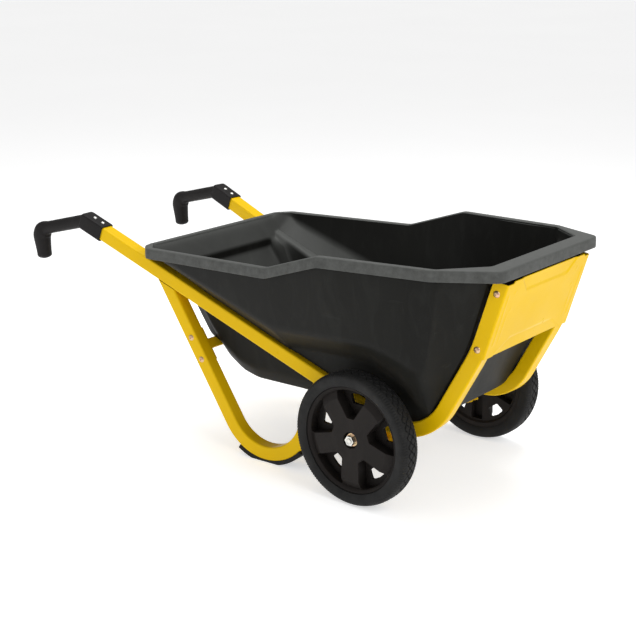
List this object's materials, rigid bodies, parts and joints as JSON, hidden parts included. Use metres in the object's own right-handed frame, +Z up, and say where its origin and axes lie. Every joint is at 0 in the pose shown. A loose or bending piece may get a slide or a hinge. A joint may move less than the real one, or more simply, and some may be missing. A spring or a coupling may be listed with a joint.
{
  "type": "garden cart",
  "caption": "Garden cart: deep moulded tub with a raised nose, bolted to a bent square-tube frame with leg loops, bar grips and spoked wheels on rubber tyres.",
  "frame": {"origin": "centre of the footprint of the whole cart, on the ground under it", "axes": "+X towards the nose, along the longest side; +Y to the left of someone pushing; +Z up"},
  "size_m": [1.6178, 0.6868, 0.6676],
  "materials": {
    "yellow_paint": "gloss powder coat, yellow",
    "tub_plastic": "fine-textured black polyethylene, greyed on top",
    "wheel_plastic": "satin black moulded plastic",
    "tyre_rubber": "matt black rubber",
    "grip_plastic": "satin black moulded plastic",
    "pad_rubber": "matt black rubber",
    "bush_plastic": "natural nylon",
    "zinc": "bright zinc plating",
    "gold_zinc": "yellow zinc plating"
  },
  "bodies": {
    "cart": {"tub": "tub_plastic", "rail_left": "yellow_paint", "rail_right": "yellow_paint", "leg_left": "yellow_paint", "leg_right": "yellow_paint", "front_plate": "yellow_paint", "leg_brace": "yellow_paint", "axle_bracket_left": "yellow_paint", "axle_bracket_right": "yellow_paint", "axle": "zinc", "axle_spacers": "zinc", "axle_washers": "gold_zinc", "axle_nuts": "zinc", "grip_left": "grip_plastic", "grip_right": "grip_plastic", "grip_screws": "zinc", "foot_pad_left": "pad_rubber", "foot_pad_right": "pad_rubber", "foot_pad_rivets": "zinc", "leg_bolts": "zinc", "leg_nuts": "zinc", "plate_bolts": "zinc", "plate_nuts": "zinc", "tub_bolts": "zinc", "tub_washers": "zinc", "tub_nuts": "zinc", "bracket_bolts": "gold_zinc", "bracket_washers": "gold_zinc", "bracket_nuts": "gold_zinc", "riser_caps": "wheel_plastic"},
    "wheel_left": {"wheel_left": "wheel_plastic", "tyre_left": "tyre_rubber", "bushes_left": "bush_plastic"},
    "wheel_right": {"wheel_right": "wheel_plastic", "tyre_right": "tyre_rubber", "bushes_right": "bush_plastic"}
  },
  "joints": [
    {"name": "wheel_left_spin", "type": "hinge", "parent": "cart", "child": "wheel_left", "pos_m": [0.4343, 0.2985, 0.178], "axis": [0, 1, 0], "continuous": true},
    {"name": "wheel_right_spin", "type": "hinge", "parent": "cart", "child": "wheel_right", "pos_m": [0.4343, -0.2985, 0.178], "axis": [0, 1, 0], "continuous": true}
  ]
}
